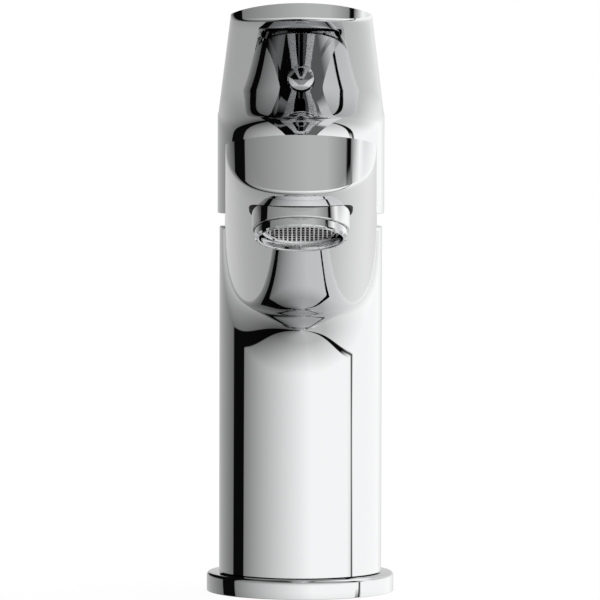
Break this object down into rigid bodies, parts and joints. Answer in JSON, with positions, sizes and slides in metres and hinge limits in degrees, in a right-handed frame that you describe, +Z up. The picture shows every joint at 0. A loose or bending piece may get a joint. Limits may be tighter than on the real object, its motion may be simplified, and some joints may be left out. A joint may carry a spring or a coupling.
{
  "type": "basin mixer tap",
  "caption": "Single-lever basin mixer tap: round column, sloping spout with a recessed aerator, and a round cap with a long flat lever.",
  "frame": {"origin": "centre of the foot, on the deck's face", "axes": "+Z up along the column; the spout and lever point to -Y; +X to the right seen from the front"},
  "size_m": [0.0554, 0.1789, 0.1724],
  "materials": {
    "body": "polished chrome on a brass casting",
    "base_ring": "polished chrome",
    "base_gasket": "black rubber",
    "aerator_housing": "polished chrome",
    "aerator_washer": "black rubber",
    "aerator_insert": "pale grey plastic",
    "aerator_screen": "white plastic",
    "aerator_mesh": "stainless steel wire",
    "cartridge_base": "grey plastic",
    "inlet_seal_hot": "black rubber",
    "inlet_seal_cold": "black rubber",
    "fixed_disc": "polished white ceramic",
    "moving_disc": "polished white ceramic",
    "disc_carrier": "dark grey plastic",
    "cartridge_housing": "white plastic",
    "cartridge_oring": "black rubber",
    "stem_carrier": "white plastic",
    "pivot_pin": "stainless steel",
    "stem": "stainless steel",
    "locknut": "machined brass",
    "cover_dome": "polished chrome",
    "handle": "polished chrome on a zinc casting",
    "grub_screw": "stainless steel",
    "index_plug": "polished chrome"
  },
  "bodies": {
    "root": {"body": "body", "base_ring": "base_ring", "base_gasket": "base_gasket", "aerator_housing": "aerator_housing", "aerator_washer": "aerator_washer", "aerator_insert": "aerator_insert", "aerator_screen": "aerator_screen", "aerator_mesh": "aerator_mesh", "cartridge_base": "cartridge_base", "inlet_seal_hot": "inlet_seal_hot", "inlet_seal_cold": "inlet_seal_cold", "fixed_disc": "fixed_disc", "cartridge_housing": "cartridge_housing", "cartridge_oring": "cartridge_oring", "locknut": "locknut", "cover_dome": "cover_dome"},
    "rotor": {"stem_carrier": "stem_carrier", "pivot_pin": "pivot_pin"},
    "lever": {"stem": "stem", "handle": "handle", "grub_screw": "grub_screw", "index_plug": "index_plug"},
    "discs": {"disc_carrier": "disc_carrier", "moving_disc": "moving_disc"}
  },
  "joints": [
    {"name": "handle_turn", "type": "hinge", "parent": "root", "child": "rotor", "pos_m": [0, 0, 0.104], "axis": [0, 0, 1], "range_deg": [-45, 45]},
    {"name": "lever_lift", "type": "hinge", "parent": "rotor", "child": "lever", "pos_m": [0, 0, 0.104], "axis": [-1, 0, 0], "range_deg": [0, 20]},
    {"name": "disc_slide", "type": "slide", "parent": "rotor", "child": "discs", "axis": [0, -1, 0], "range_m": [0, 0.0036]}
  ],
  "couplings": [
    {"joint": "disc_slide", "follows": "lever_lift", "m_per_rad": 0.01}
  ]
}
